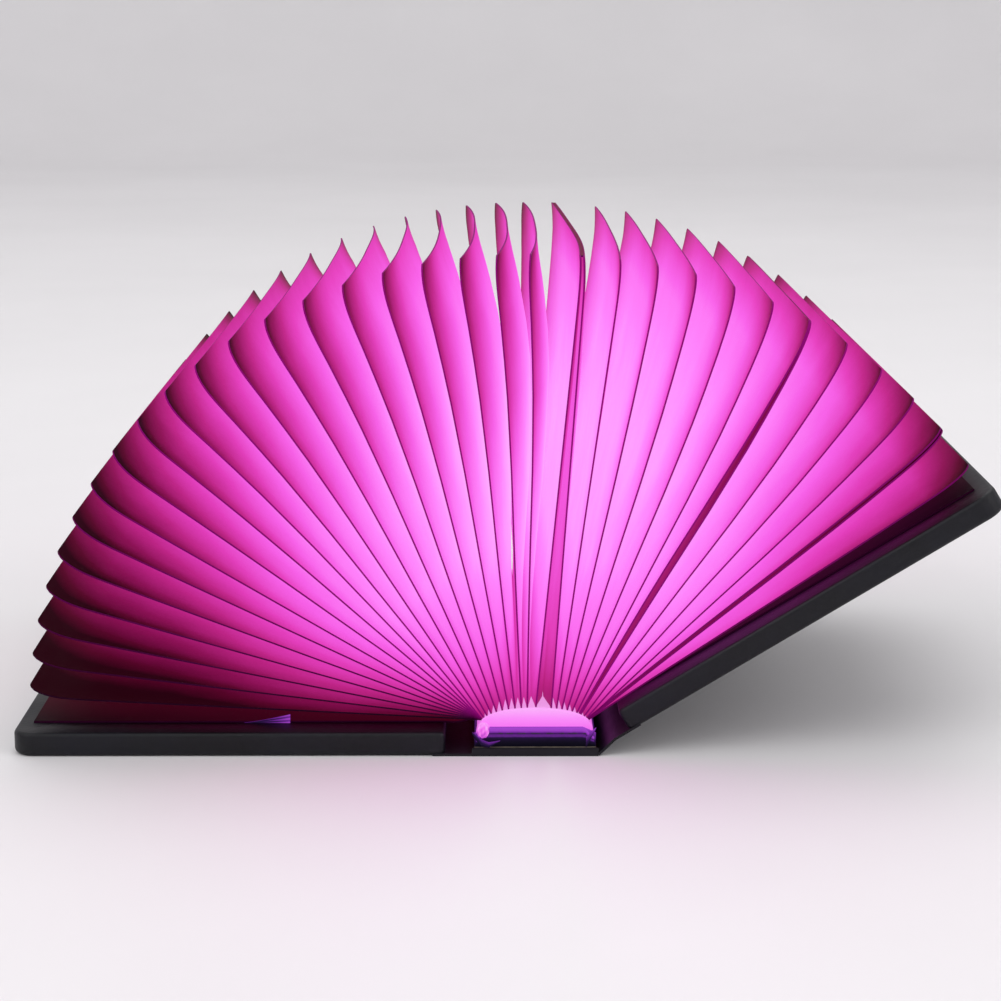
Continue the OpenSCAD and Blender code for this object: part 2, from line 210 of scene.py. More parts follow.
def thin_sheet(build, centre, half, rows, columns, glow, edge_glow=0.0, shares=(1, 1)):
    """A closed sheet over rows of places s and columns of places v.

    centre(s, v) is its middle point, half(s, v) gives the steps from there to its two faces, glow(s, v)
    is its light, and shares are the faces' shares of that light.
    """
    upper, lower, light = [], [], []
    for s in rows:
        upper.append([])
        lower.append([])
        light.append([])
        for v in columns:
            c = centre(s, v)
            up, down = half(s, v)
            upper[-1].append(tuple(c + up))
            lower[-1].append(tuple(c - down))
            light[-1].append(glow(s, v))
    top = build.grid(upper, 0, [[g * shares[0] for g in row] for row in light])
    bottom = build.grid(lower, 0, [[g * shares[1] for g in row] for row in light], flip=True)
    edges = [(top[-1], bottom[-1]), (bottom[0], top[0])]
    edges.append(([r[0] for r in top], [r[0] for r in bottom]))
    edges.append(([r[-1] for r in bottom], [r[-1] for r in top]))
    for edge in edges:
        build.grid([[build.points[k] for k in line] for line in edge], 1, edge_glow)


def ribbon(build, path, side, half_y, thickness, columns, glow, edge_glow=0.0):
    """A sheet along Y that follows a path of points in X and Z, on the given side of the spine."""

    def centre(s, v):
        x, z = path[s]
        return np.array([x, v * half_y, z])

    def half(s, v):
        d = path[min(s + 1, len(path) - 1)] - path[max(s - 1, 0)]
        d /= np.linalg.norm(d)
        n = side * np.array([-d[1], 0, d[0]]) * thickness / 2
        return n, n

    thin_sheet(build, centre, half, range(len(path)), columns, glow, edge_glow)


def in_metres(x, z):
    return (x * MM, 0, z * MM)


# Materials

def material(name):
    m = bpy.data.materials.new(name)
    m.use_nodes = True
    return m, m.node_tree.nodes, m.node_tree.links, m.node_tree.nodes["Principled BSDF"]


def value(node, **settings):
    for key, v in settings.items():
        node.inputs[key.replace("_", " ")].default_value = v


def linear(rgb):
    """A colour as Blender wants it, from its 0 to 255 sRGB values."""
    colour = []
    for c in rgb:
        colour.append(c / 12.92 / 255 if c <= 10.3 else ((c / 255 + 0.055) / 1.055) ** 2.4)
    return (*colour, 1)


def grey(level):
    return (level, level, level, 1)


def noise(nodes, links, scale, detail=4.0):
    where = nodes.new("ShaderNodeTexCoord")
    texture = nodes.new("ShaderNodeTexNoise")
    value(texture, Scale=scale, Detail=detail, Roughness=0.6)
    links.new(where.outputs["Object"], texture.inputs["Vector"])
    return texture.outputs["Fac"]


def ramp(nodes, links, source, stops):
    """The colour that a source picks from stops, a table of places and colours."""
    r = nodes.new("ShaderNodeValToRGB")
    elements = r.color_ramp.elements
    while len(elements) < len(stops):
        elements.new(0.5)
    for element, (place, colour) in zip(elements, stops.items()):
        element.position = place
        element.color = colour
    links.new(source, r.inputs["Fac"])
    return r.outputs["Color"]


def calculate(nodes, links, operation, source, *others):
    """A number worked out from a source and others, which are sockets or plain numbers."""
    node = nodes.new("ShaderNodeMath")
    node.operation = operation
    links.new(source, node.inputs[0])
    for place, other in enumerate(others, 1):
        if isinstance(other, float):
            node.inputs[place].default_value = other
        else:
            links.new(other, node.inputs[place])
    return node.outputs[0]


def bump(nodes, links, shader, source, strength, distance=0.05):
    b = nodes.new("ShaderNodeBump")
    value(b, Strength=strength, Distance=distance * MM)
    links.new(source, b.inputs["Height"])
    links.new(b.outputs["Normal"], shader.inputs["Normal"])


def height_share(nodes, links):
    """How high a point is in its piece's box, from 0 to 1."""
    where = nodes.new("ShaderNodeTexCoord")
    parts = nodes.new("ShaderNodeSeparateXYZ")
    links.new(where.outputs["Generated"], parts.inputs[0])
    return parts.outputs["Z"]


def mesh_glow(nodes, links):
    glow = nodes.new("ShaderNodeAttribute")
    glow.attribute_name = "glow"
    return glow.outputs["Fac"]


# Shares of a glowing surface's colour that its paint and its own light carry, and how much texture varies it
BASE_SHARE, LIGHT_SHARE = 0.30, 0.70
FIBRE_SHARE, CLOUD_SHARE = 0.05, 0.06
CLOUD_SCALE = 90
PEBBLE_SCALE, WEAR_SCALE = 1500, 60


def glowing(name, colours, source=mesh_glow, fibre=1400, roughness=0.62, relief=0.25):
    """A surface lit from the spine: the source picks the colour, and fine fibres and soft clouds vary it."""
    m, nodes, links, shader = material(name)
    fibres = noise(nodes, links, fibre, detail=6.0)
    clouds = noise(nodes, links, CLOUD_SCALE, detail=2.0)
    level = source(nodes, links)
    level = calculate(nodes, links, "MULTIPLY_ADD", fibres, FIBRE_SHARE, level)
    level = calculate(nodes, links, "MULTIPLY_ADD", clouds, CLOUD_SHARE, level)
    level = calculate(nodes, links, "SUBTRACT", level, (FIBRE_SHARE + CLOUD_SHARE) / 2)
    colour = ramp(nodes, links, level, {place: linear(rgb) for place, rgb in colours.items()})
    base = nodes.new("ShaderNodeVectorMath")
    base.operation = "SCALE"
    base.inputs["Scale"].default_value = BASE_SHARE
    links.new(colour, base.inputs[0])
    links.new(base.outputs[0], shader.inputs["Base Color"])
    links.new(colour, shader.inputs["Emission Color"])
    value(shader, Emission_Strength=LIGHT_SHARE, Roughness=roughness, Specular_IOR_Level=0.04)
    bump(nodes, links, shader, fibres, relief)
    return m


def plain(name, dark, light, grain, roughness, metallic=0.0, relief=0.2):
    """A surface whose colour and relief vary with one noise."""
    m, nodes, links, shader = material(name)
    texture = noise(nodes, links, grain)
    colour = ramp(nodes, links, texture, {0.3: linear(dark), 0.7: linear(light)})
    links.new(colour, shader.inputs["Base Color"])
    value(shader, Roughness=roughness, Metallic=metallic)
    bump(nodes, links, shader, texture, relief)
    return m


def leather(name):
    """Black leather-like skin with a fine pebble grain and a navy tint."""
    m, nodes, links, shader = material(name)
    where = nodes.new("ShaderNodeTexCoord")
    pebbles = nodes.new("ShaderNodeTexVoronoi")
    pebbles.feature = "SMOOTH_F1"
    value(pebbles, Scale=PEBBLE_SCALE)
    links.new(where.outputs["Object"], pebbles.inputs["Vector"])
    wear = noise(nodes, links, WEAR_SCALE, detail=5.0)
    tint = ramp(nodes, links, wear, {0.35: linear((9, 9, 15)), 0.7: linear((16, 16, 26))})
    gloss = ramp(nodes, links, wear, {0.3: grey(0.42), 0.75: grey(0.58)})
    links.new(tint, shader.inputs["Base Color"])
    links.new(gloss, shader.inputs["Roughness"])
    value(shader, Specular_IOR_Level=0.3)
    bump(nodes, links, shader, pebbles.outputs["Distance"], 0.45, 0.08)
    return m


LIT_PAPER = {
    0.00: (40, 3, 14),
    0.12: (90, 6, 42),
    0.28: (148, 20, 92),
    0.44: (198, 42, 144),
    0.60: (231, 70, 196),
    0.76: (248, 108, 236),
    0.90: (255, 146, 252),
    1.00: (255, 184, 255),
}
LIT_PLASTIC = {0.4: (253, 112, 246), 0.75: (255, 146, 254), 1.0: (255, 180, 255)}
LIT_PUCKER = {0.0: (150, 44, 190), 0.5: (244, 110, 240), 1.0: (255, 176, 255)}
# The lining, its wrap and corners and the turned-in flap are dark skin: these purples, from near black to
# bright, are painted light from the LEDs, and on the lining they are painted brighter towards the top.
LIT_PURPLE = {0.0: (13, 11, 24), 0.3: (40, 20, 66), 0.6: (112, 42, 152), 1.0: (172, 72, 212)}

PAPER = glowing("page_paper", LIT_PAPER)
# The edges of the sheets glow far dimmer than their faces: painted shade that draws them as dark lines.
BORDER = glowing("page_edge", {0.0: (14, 0, 8), 1.0: (150, 8, 124)})
FOLD = glowing("fold_floor", {0.0: (250, 110, 245), 1.0: (255, 190, 255)})
DIFFUSER = glowing("diffuser", LIT_PLASTIC, height_share, fibre=300, roughness=0.4, relief=0.1)
PUCKER = glowing("diffuser_pucker", LIT_PUCKER)
LINING = glowing("lining", LIT_PURPLE, height_share, fibre=1500, roughness=0.4, relief=0.5)
WRAP = glowing("lining_wrap", LIT_PURPLE, mesh_glow, fibre=1500, roughness=0.4, relief=0.5)
# The end leaves' dark reds are painted light from the pages, with a dimmer lit copy for the front leaf.
LEAF_BACK = glowing("end_leaf_back", {0.0: (24, 2, 10), 1.0: (150, 14, 62)})
LEAF_FRONT = glowing("end_leaf_front", {0.0: (16, 2, 9), 1.0: (120, 12, 70)})
LED_LIT = {0.0: (255, 120, 245), 1.0: (255, 220, 255)}
LED = glowing("led_body", LED_LIT, height_share, fibre=800, roughness=0.3, relief=0.1)
SKIN = leather("cover_skin")
BOARD = plain("board", (86, 78, 68), (124, 114, 98), grain=700, roughness=0.9)
THREAD = plain("thread", (12, 8, 26), (34, 20, 58), grain=3000, roughness=0.6)
TRAY = plain("tray_plastic", (222, 222, 216), (236, 236, 232), grain=500, roughness=0.45)
FOIL = plain(
    "cell_foil", (150, 154, 160), (196, 200, 206), grain=160, roughness=0.32, metallic=0.85, relief=0.5
)
FOAM = plain("foam", (38, 38, 40), (70, 70, 72), grain=2500, roughness=0.95, relief=0.6)
SHEATH = plain("lead_sheath", (150, 22, 22), (184, 34, 30), grain=900, roughness=0.4)
BOARD_WHITE = plain("board_white", (222, 222, 212), (240, 240, 234), grain=800, roughness=0.35)
BOARD_GREEN = plain("board_green", (18, 84, 52), (34, 112, 68), grain=400, roughness=0.35)
STEEL = plain(
    "socket_steel", (150, 150, 152), (196, 196, 198), grain=1200, roughness=0.3, metallic=0.9, relief=0.1
)
GLASS = plain("reed_glass", (128, 168, 160), (168, 200, 192), grain=600, roughness=0.12, relief=0.05)
NICKEL = plain(
    "magnet_plate", (176, 176, 180), (206, 206, 210), grain=1000, roughness=0.2, metallic=1.0, relief=0.1
)


# The pages. s is the way out from a page's fold, and v runs from -1 at its near end to 1 at its far end.

SHEET_T = 0.32
LAYER_CLEAR = 0.05

# How far the rim curls to the fan's middle: the most, then the middle page's and the step from page to page
CURL_L, CURL_POWER = 13.0, 4
CURL_MOST = 2.0
BACK_CURL, BACK_CURL_STEP = 0.6, 0.127
FRONT_CURL, FRONT_CURL_STEP = 0.5, 0.05

# How far a page bows to +X between its ends, at its near end and at its far end: the most, by the page's
# number, and the share of that, by the way out
BOW_OF_PAGE = {0: 1.2, 12: 3.6, 15: 4.0, 17: 4.8, 18: 4.8, 19: 3.9, 20: 2.1, 31: 0.0}
BOW_ALONG = {0: 0.0, 20: 0.4, 40: 0.9, 60: 1.15, 70: 1.08, 78: 0.88, 84: 0.67, 88: 0.5}
BOW_POWER = 2.5
NEAR_BOW_OF_PAGE = {6: 0.0, 9: 1.0, 19: 1.0, 20: 0.0, 21: 0.0, 24: 1.1, 28: 1.1, 29: 0.9, 30: 0.6, 31: 0.2}
NEAR_BOW_ALONG = {0: 0.0, 15: 0.2, 30: 0.5, 46: 0.95, 60: 1.1, 72: 0.9, 80: 0.5, 88: 0.0}
FAR_BOW_OF_PAGE = {5: 0.0, 8: 2.0, 14: 2.0, 17: 0.6}
FAR_BOW_ALONG = {30: 0.0, 50: 0.3, 66: 0.8, 76: 1.0, 82: 0.9, 88: 0.35}
OPEN_LEAN = 2.6

# Light on a page: by its number, by the way out, and how much darker its two ends are
GAIN_OF_PAGE = {0: 0.34, 1: 0.48, 3: 0.68, 6: 0.88, 9: 1.0, 28: 1.0, 30: 0.9, 31: 0.82}
BACK_FADE = {0: 0.52, 5: 0.68, 12: 0.84, 25: 0.98, 45: 1.02, 60: 0.97, 70: 0.88, 78: 0.79, 84: 0.66, 88: 0.57}
FRONT_FADE = {0: 0.52, 5: 0.68, 12: 0.84, 25: 0.95, 45: 0.97, 60: 0.94, 70: 0.9, 78: 0.84, 84: 0.68, 88: 0.56}
OUTER_FADE_FROM = 45
OUTER_FADE_POWER = {0: 1.7, 7: 1.7, 11: 1.3, 14: 1.0, 24: 1.0, 28: 1.5, 31: 1.9}
BACK_SHADE = {0: 0.06, 30: 0.12, 40: 0.2, 50: 0.33, 60: 0.43, 88: 0.42}
FRONT_SHADE = {0: 0.05, 30: 0.09, 40: 0.14, 50: 0.22, 60: 0.28, 88: 0.26}
SHADE_FROM_Y = 20
EDGE_SHADE, EDGE_SHADE_W = 0.08, 4
EDGE_GLOW, EDGE_GLOW_POWER = 0.8, 3
RIM_GLOW, RIM_EDGE_GLOW = 0.16, 0.3

# The bellows near the folds: how far out they reach, on a page's outside and between parted layers,
# over what length they close at a page's ends, and how far out the room between pages is measured
TENT_L, INNER_TENT_L = 16.0, 60.0
PINCH = 9.0
ROOM_AT = 3


def curl_of(i):
    """How far the rim of page i curls."""
    if i < BACK_PAGES:
        return min(CURL_MOST, BACK_CURL + BACK_CURL_STEP * (BACK_PAGES - 1 - i))
    return FRONT_CURL + FRONT_CURL_STEP * (i - BACK_PAGES)


def bow(i, s, v):
    """How far page i stands to +X of its plane. The open page's far end leans to -X."""
    middle = look_up(BOW_OF_PAGE, i) * look_up(BOW_ALONG, s) * (1 - abs(v) ** BOW_POWER)
    near = look_up(NEAR_BOW_OF_PAGE, i) * look_up(NEAR_BOW_ALONG, s) * (1 - v) / 2
    far = look_up(FAR_BOW_OF_PAGE, i) * look_up(FAR_BOW_ALONG, s) * smoothstep(v)
    if i == OPEN_PAGE:
        far -= OPEN_LEAN * (s / PAGE_L) * smoothstep((v + 1) / 2)
    return middle + near + far


def page_glow(i, s, y):
    """The light at s and y on page i."""
    fade = look_up(BACK_FADE if i < BACK_PAGES else FRONT_FADE, s)
    shade = look_up(BACK_SHADE if i < BACK_PAGES else FRONT_SHADE, s)
    if s > OUTER_FADE_FROM:
        fade **= look_up(OUTER_FADE_POWER, i)
    toward_end = (max(0.0, abs(y) - SHADE_FROM_Y) / (PAGE_HALF - SHADE_FROM_Y)) ** 2
    edge = EDGE_SHADE * smoothstep(1 - (PAGE_HALF - abs(y)) / EDGE_SHADE_W)
    return look_up(GAIN_OF_PAGE, i) * fade - shade * toward_end - edge


def half_room(apart):
    return max(0.0, apart / 2 - SHEET_T / 2 - LAYER_CLEAR)


def room(p, step):
    """Half the room beside a page near its fold, to the nearest layer of the page that is step away."""
    j = p.i + step
    if j < 0 or j >= PAGES:
        return 0.0
    apart = abs((PLANES[j].at(ROOM_AT) - p.at(ROOM_AT)) @ p.across)
    if {p.i, j} == {OPEN_PAGE - 1, OPEN_PAGE}:
        apart -= OPEN_FOLD_GAP
    return half_room(apart)


def bellows(toward_middle, toward_cover, lengths=(TENT_L, TENT_L)):
    """Added half widths that open a layer's bellows near the fold, but not at its two ends."""

    def widen(s, v):
        inside = smoothstep((1 - abs(v)) * PAGE_HALF / PINCH)
        middle, cover = (max(0.0, 1 - s / l) ** 2 * inside for l in lengths)
        return toward_middle * middle, toward_cover * cover

    return widen


def y_at(s, v):
    """The place across the page at the share v of its half width, with the rim corners rounded."""
    y_end = PAGE_HALF
    into = s - (PAGE_L - PAGE_CORNER_R)
    if into > 0:
        y_end -= PAGE_CORNER_R - math.sqrt(max(0.0, PAGE_CORNER_R ** 2 - into ** 2))
    return v * y_end


# Places on a sheet: close together near the fold, where the rim curls and at the rounded corners
FOLD_ZONE, RIM_SHORT = 12, 0.02
SHEET_ROWS = steps(0, FOLD_ZONE, 8)
SHEET_ROWS += steps(FOLD_ZONE, PAGE_L - CURL_L, 9)
SHEET_ROWS += steps(PAGE_L - CURL_L, PAGE_L - PAGE_CORNER_R, 8)
for a in (0, 30, 60, 90):
    SHEET_ROWS.append(PAGE_L - RIM_SHORT - PAGE_CORNER_R * (1 - math.sin(math.radians(a))))
SHEET_COLUMNS = [-math.cos(math.pi * k / 24) for k in range(25)]


def leaf(build, p, offset, widen, shares=(1, 1)):
    """One sheet of a page. offset(s, v) moves it across the page, and widen(s, v) adds to its half widths."""
    n = np.array([p.across[0], 0, p.across[1]])

    def centre(s, v):
        bend = curl_of(p.i) * max(0.0, (s - (PAGE_L - CURL_L)) / CURL_L) ** CURL_POWER
        x, z = p.at(s, offset(s, v) + bend - p.side * bow(p.i, s, v))
        return np.array([x, y_at(s, v), z])

    def half(s, v):
        toward_middle, toward_cover = widen(s, v)
        return n * (SHEET_T / 2 + toward_middle), n * (SHEET_T / 2 + toward_cover)

    def glow(s, v):
        return page_glow(p.i, s, v * PAGE_HALF)

    edge_glow = EDGE_GLOW * look_up(GAIN_OF_PAGE, p.i) ** EDGE_GLOW_POWER
    thin_sheet(build, centre, half, SHEET_ROWS, SHEET_COLUMNS, glow, edge_glow, shares)


def finish_page(build, p):
    name = f"page_{p.i + 1:02d}"
    obj = build.make(f"page_sheet_{p.i + 1:02d}", [PAPER, BORDER])
    in_metres(*p.at(0))
    in_metres(*p.at(PAGE_ROOT))
    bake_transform(obj)
    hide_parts(name)


def closed_page(i):
    """A page whose two layers lie together."""
    p = PLANES[i]
    build = Build()
    leaf(build, p, lambda s, v: 0.0, bellows(room(p, -p.side), room(p, p.side)))
    finish_page(build, p)


def parted_page(i, gap, inner):
    """A page whose layers stand apart by gap(s). The faces between them have the share inner of the glow."""
    p = PLANES[i]
    between = half_room(gap(0))
    to_cover = bellows(between, room(p, p.side), (INNER_TENT_L, TENT_L))
    to_middle = bellows(room(p, -p.side), between, (TENT_L, INNER_TENT_L))
    build = Build()
    leaf(build, p, lambda s, v: 0.0, to_cover, (inner, 1))
    leaf(build, p, lambda s, v: gap(s), to_middle, (1, inner))

    def rim_centre(s, v):
        n = s * gap(PAGE_L) + curl_of(i) - p.side * bow(i, PAGE_L, v)
        x, z = p.at(PAGE_L - SHEET_T / 2, n)
        return np.array([x, v * (PAGE_HALF - PAGE_CORNER_R), z])

    def rim_half(s, v):
        up = np.array([p.along[0], 0, p.along[1]]) * SHEET_T / 2
        return up, up

    thin_sheet(build, rim_centre, rim_half, (0, 1), SHEET_COLUMNS, lambda s, v: RIM_GLOW, RIM_EDGE_GLOW)
    finish_page(build, p)


def open_gap(s):
    return mix(OPEN_FOLD_GAP, OPEN_RIM_GAP, s / PAGE_L)


def slit(width, length):
    """The gap of two layers that part between the fold and the given length, and lie together past it."""
    return lambda s: SHEET_T + width * math.sin(math.pi * min(s / length, 1))


# The parted pages: the gap between the layers, and the share of the glow that its faces have
PARTED = {OPEN_PAGE: (open_gap, 0.75), 26: (slit(0.9, 84.0), 0.42), 30: (slit(0.4, 110.0), 0.36)}

for i in range(PAGES):
    if i in PARTED:
        parted_page(i, *PARTED[i])
    else:
        closed_page(i)


# What the inner folds rest on, brightest along the middle

FLOOR_GLOW, FLOOR_FADE = 0.8, 0.3


def fold_floor():
    xs = [FOLD_REACH * math.sin(math.radians(a)) for a in range(-90, 91, 5)]

    def centre(s, v):
        return np.array([s, v * PAGE_HALF, diffuser_surface(s) + FOLD_CLEAR])

    def half(s, v):
        up = np.array([0, 0, PAGE_T / 4])
        return up, up

    def glow(s, v):
        return FLOOR_GLOW - FLOOR_FADE * abs(s) / FOLD_REACH

    build = Build()
    thin_sheet(build, centre, half, xs, both_ways(5), glow, FLOOR_GLOW)
    obj = build.make("fold_floor", [FOLD, FOLD])
    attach(obj, "spine")
    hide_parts("back_inner_folds", "front_inner_folds")


fold_floor()


# Covers, in a frame with the hinge axis at the origin, +X to the free edge and the inner face up

OUTER_INSETS, INNER_INSET = (30, 12, 4), 3
SKIN_ROUND_OUT, SKIN_ROUND_IN = 1.1, 0.8
TURN_IN_ROUND = (0.3, 0.25)
SPINE_CORNER_R = 1.2
LEAST_R, LEAST_SPINE_R = 0.3, 0.15
CORNER_STEPS = 8
STRIP_LAP, STRIP_LIFT, STRIP_CLEAR = 2, 0.03, 0.05
DIP_SAG = 0.4
LEAF_GLOW, LEAF_FADE, LEAF_END_FADE, LEAF_EDGE_GLOW = 0.5, 0.25, 0.25, 0.05


class Cover:
    """A cover on side -1 or 1 of the spine, raised by an angle."""

    def __init__(self, side, raised):
        self.side = side
        a = math.radians(raised)
        self.cos, self.sin = math.cos(a), math.sin(a)

    def place(self, x, y, z):
        """A place on the cover in the lamp's own frame."""
        lamp_x = self.side * (HINGE_X + self.cos * x - self.sin * z)
        return lamp_x, y, HINGE_Z + self.sin * x + self.cos * z

    def at(self, x, z):
        """The same in X and Z only."""
        lamp_x, y, lamp_z = self.place(x, 0, z)
        return np.array([lamp_x, lamp_z])


BACK = Cover(-1, 0)
FRONT = Cover(1, FRONT_RAISED)


def outline(x0, x1, half_y, r, r0):
    """A rounded rectangle as a loop of points, with radius r at the free edge and r0 beside the spine."""
    corners = (
        (x1 - r, -half_y + r, r, -90),
        (x1 - r, half_y - r, r, 0),
        (x0 + r0, half_y - r0, r0, 90),
        (x0 + r0, -half_y + r0, r0, 180),
    )
    points = []
    for cx, cy, radius, start in corners:
        for k in range(CORNER_STEPS + 1):
            a = math.radians(start + 90 * k / CORNER_STEPS)
            points.append((cx + radius * math.cos(a), cy + radius * math.sin(a)))
    return points


def skin_profile():
    """The skin from a cover's outer face round its edge to under the end leaf, as insets and heights."""
    profile = [(inset, OUTER_Z) for inset in OUTER_INSETS]
    for a in range(0, 91, 15):
        a = math.radians(a)
        profile.append((SKIN_ROUND_OUT * (1 - math.sin(a)), OUTER_Z + SKIN_ROUND_OUT * (1 - math.cos(a))))
    for a in range(0, 91, 18):
        a = math.radians(a)
        profile.append((SKIN_ROUND_IN * (1 - math.cos(a)), END_LEAF_Z - SKIN_ROUND_IN * (1 - math.sin(a))))
    profile.append((INNER_INSET, END_LEAF_Z))
    profile.append((TURN_IN_W - TURN_IN_ROUND[0], END_LEAF_Z))
    profile.append((TURN_IN_W, END_LEAF_Z - TURN_IN_ROUND[1]))
    profile.append((TURN_IN_W, END_LEAF_Z - SKIN_T))
    return profile


def cover_piece(cover, name, nodes):
    """The skin, wrapped over the board's edges and turned in on the inner face, with its hinge strip."""
    rows = []
    for inset, z in skin_profile():
        r = max(COVER_CORNER_R - inset, LEAST_R)
        r0 = max(SPINE_CORNER_R - inset, LEAST_SPINE_R)
        loop = outline(BOARD_FROM - SKIN_T + inset, COVER_W - inset, COVER_L / 2 - inset, r, r0)
        rows.append([cover.place(x, y, z) for x, y in loop + loop[:1]])
    build = Build()
    flip = cover.side < 0
    build.grid(rows, flip=flip)
    loop = range(len(rows[0]) - 1)
    build.cap(loop if flip else loop[::-1])
    spine_edge = np.array([cover.side * SPINE_W / 2, SKIN_T / 2])
    low = cover.at(SKIN_FROM, OUTER_Z + SKIN_T / 2)
    high = cover.at(BOARD_FROM + STRIP_LAP, OUTER_Z + SKIN_T / 2 + STRIP_LIFT)
    path = [mix(spine_edge, low, t) for t in (0, 0.25, 0.5, 0.75, 1)]
    path += [mix(low, high, t) for t in (0.25, 0.5, 0.75, 1)]
    ribbon(build, path, cover.side, COVER_L / 2 - STRIP_CLEAR, SKIN_T, both_ways(4), lambda s, v: 0.0)
    obj = build.make(name, [SKIN, SKIN])
    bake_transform(obj)
    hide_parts(*nodes)


cover_piece(BACK, "back_wrap", ["back_skin", "back_hinge_strip"])
cover_piece(FRONT, "front_wrap", ["front_skin", "front_hinge_strip"])


def leaf_piece(cover, name, node, look):
    """The end leaf: glued on the cover, dipping into the gutter and up to the outermost fold."""
    middle = END_LEAF_Z + END_LEAF_T / 2
    foot = fold_point(cover.side * FOLD_REACH)
    dip = cover.at(LEAF_DIP_FROM, LEAF_DIP_Z) - [0, DIP_SAG]
    edge = cover.at(BOARD_FROM, middle)
    path = [foot]
    for t in (0.25, 0.5, 0.75, 1):
        path.append((1 - t) ** 2 * foot + 2 * t * (1 - t) * dip + t * t * edge)
    for k in range(1, 13):
        path.append(cover.at(mix(BOARD_FROM, COVER_W - END_LEAF_MARGIN, k / 12), middle))

    # Painted light from the pages on the end leaf, fading towards the free edge and painted darker towards
    # the near and far ends.
    def glow(s, v):
        return LEAF_GLOW - LEAF_FADE * s / (len(path) - 1) - LEAF_END_FADE * v * v

    build = Build()
    ribbon(build, path, cover.side, END_LEAF_HALF, END_LEAF_T, both_ways(16), glow, LEAF_EDGE_GLOW)
    obj = build.make(name, [look, BORDER])
    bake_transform(obj)
    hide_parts(node)


leaf_piece(BACK, "back_leaf", "back_end_leaf", LEAF_BACK)
leaf_piece(FRONT, "front_leaf", "front_end_leaf", LEAF_FRONT)


# The lifted edge of the skin's turned-in border in the back cover, which shines purple: a painted reflection
# of the lamp's light with painted highlight streaks

FLAP_X = (-57.0, -48.0)
FLAP_H, FLAP_RISE, FLAP_TWIST = 1.6, 1.3, 0.3
FLAP_OUT, FLAP_CLEAR, FLAP_LIFT = 0.4, 0.03, 0.05
FLAP_Y = -END_LEAF_HALF - FLAP_OUT
FLAP_FOOT = HINGE_Z + END_LEAF_Z + FLAP_CLEAR
FLAP_HALF_T = np.array([0, -0.1, 0])
FLAP_DARK, FLAP_BRIGHT, FLAP_HIGHLIGHT_STREAK, FLAP_EDGE_GLOW = 0.15, 0.7, 0.28, 0.6
HIGHLIGHT_STREAK_TURN = 7


def flap():
    def centre(s, v):
        height = FLAP_H * s ** FLAP_RISE * (v + 1) / 2
        return np.array([mix(*FLAP_X, s), FLAP_Y + FLAP_TWIST * v * s, FLAP_FOOT + FLAP_LIFT + height])

    # Painted reflection: brighter towards the flap's taller end, with painted highlight streaks across it.
    def glow(s, v):
        return FLAP_DARK + FLAP_BRIGHT * s * s + FLAP_HIGHLIGHT_STREAK * math.cos(HIGHLIGHT_STREAK_TURN * v) * s

    def half(s, v):
        return FLAP_HALF_T, FLAP_HALF_T

    build = Build()
    thin_sheet(build, centre, half, steps(0, 1, 10) + [1], both_ways(16), glow, FLAP_EDGE_GLOW)
    obj = build.make("turned_in_flap", [WRAP, WRAP])
    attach(obj, "back_cover")
    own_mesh(obj)


# The spine's near end: the lining over the edge, its stitches, its two corners and the diffuser's pucker

LINING_END_Y = DIFFUSER_HALF + SEAT_GAP + LINING_T
WRAP_PROFILE = (
    (5.50, 0.00), (5.30, 0.25), (4.90, 0.35), (4.50, 0.30), (4.35, 0.12), (4.20, 0.30),
    (3.80, 0.35), (3.40, 0.30), (2.80, 0.20), (2.20, 0.15), (1.70, 0.10),
)
WRAP_EDGE_GLOW = 0.3
WRAP_GLOW = {2.6: 0.0, 3.4: 0.2, 3.9: 0.62, 4.2: 0.5, 4.9: 0.86, 5.5: 0.95}
WRAP_HALF_W, WRAP_SHOULDER, WRAP_DROP = 11.5, 2.2, 1.9
WRAP_TOP = WRAP_PROFILE[0][0]
WRAP_OUTER_T, WRAP_INNER_T = 0.05, 0.1
RIPPLES = ((0.05, 2.1, 0), (0.04, 5.3, 2))
RIPPLE_FROM = 0.3
SEAM_Z, SEAM_W, SEAM_SHADE = 4.35, 0.12, 0.25
STITCH_OUT, STITCH_ARCH, STITCH_SIDES = 0.26, 0.06, 10
STITCH_R = {0: 0.02, 0.08: 0.13, 0.5: 0.13, 0.92: 0.13, 1: 0.02}
STITCHES = ((-6.7, 0.9), (-4.9, 1.3), (-2.6, 1.6), (0.1, 1.9), (2.9, 1.5), (5.2, 1.0), (7.3, 1.9), (9.6, 0.8))
CORNER_OUT, CORNER_WAVE, CORNER_TURN, CORNER_HALF_T = 0.55, 0.25, 1.7, 0.14
CORNER_TOP_GLOW, CORNER_EDGE_GLOW = 0.25, 0.5
LEFT_CORNER = ((-12.2, 4.4), (-11.6, 3.6), (-10.5, 2.6), (-9.0, 2.2), (-6.8, 2.9))
RIGHT_CORNER = ((9.9, 2.6), (10.6, 3.6), (11.2, 4.6), (11.8, 5.6))
PUCKER_OUT = 0.45
PUCKER_AT = (-10.1, -(DIFFUSER_HALF + PUCKER_OUT), 4.85)
PUCKER_R = (1.35, 0.95, 1.6)
PUCKER_STEPS, PUCKER_SIDES = 12, 24
PUCKER_GLOW, PUCKER_TOP_GLOW = 0.55, 0.3
CREASE_DEPTH, CREASE_GLOW = 0.07, 0.28


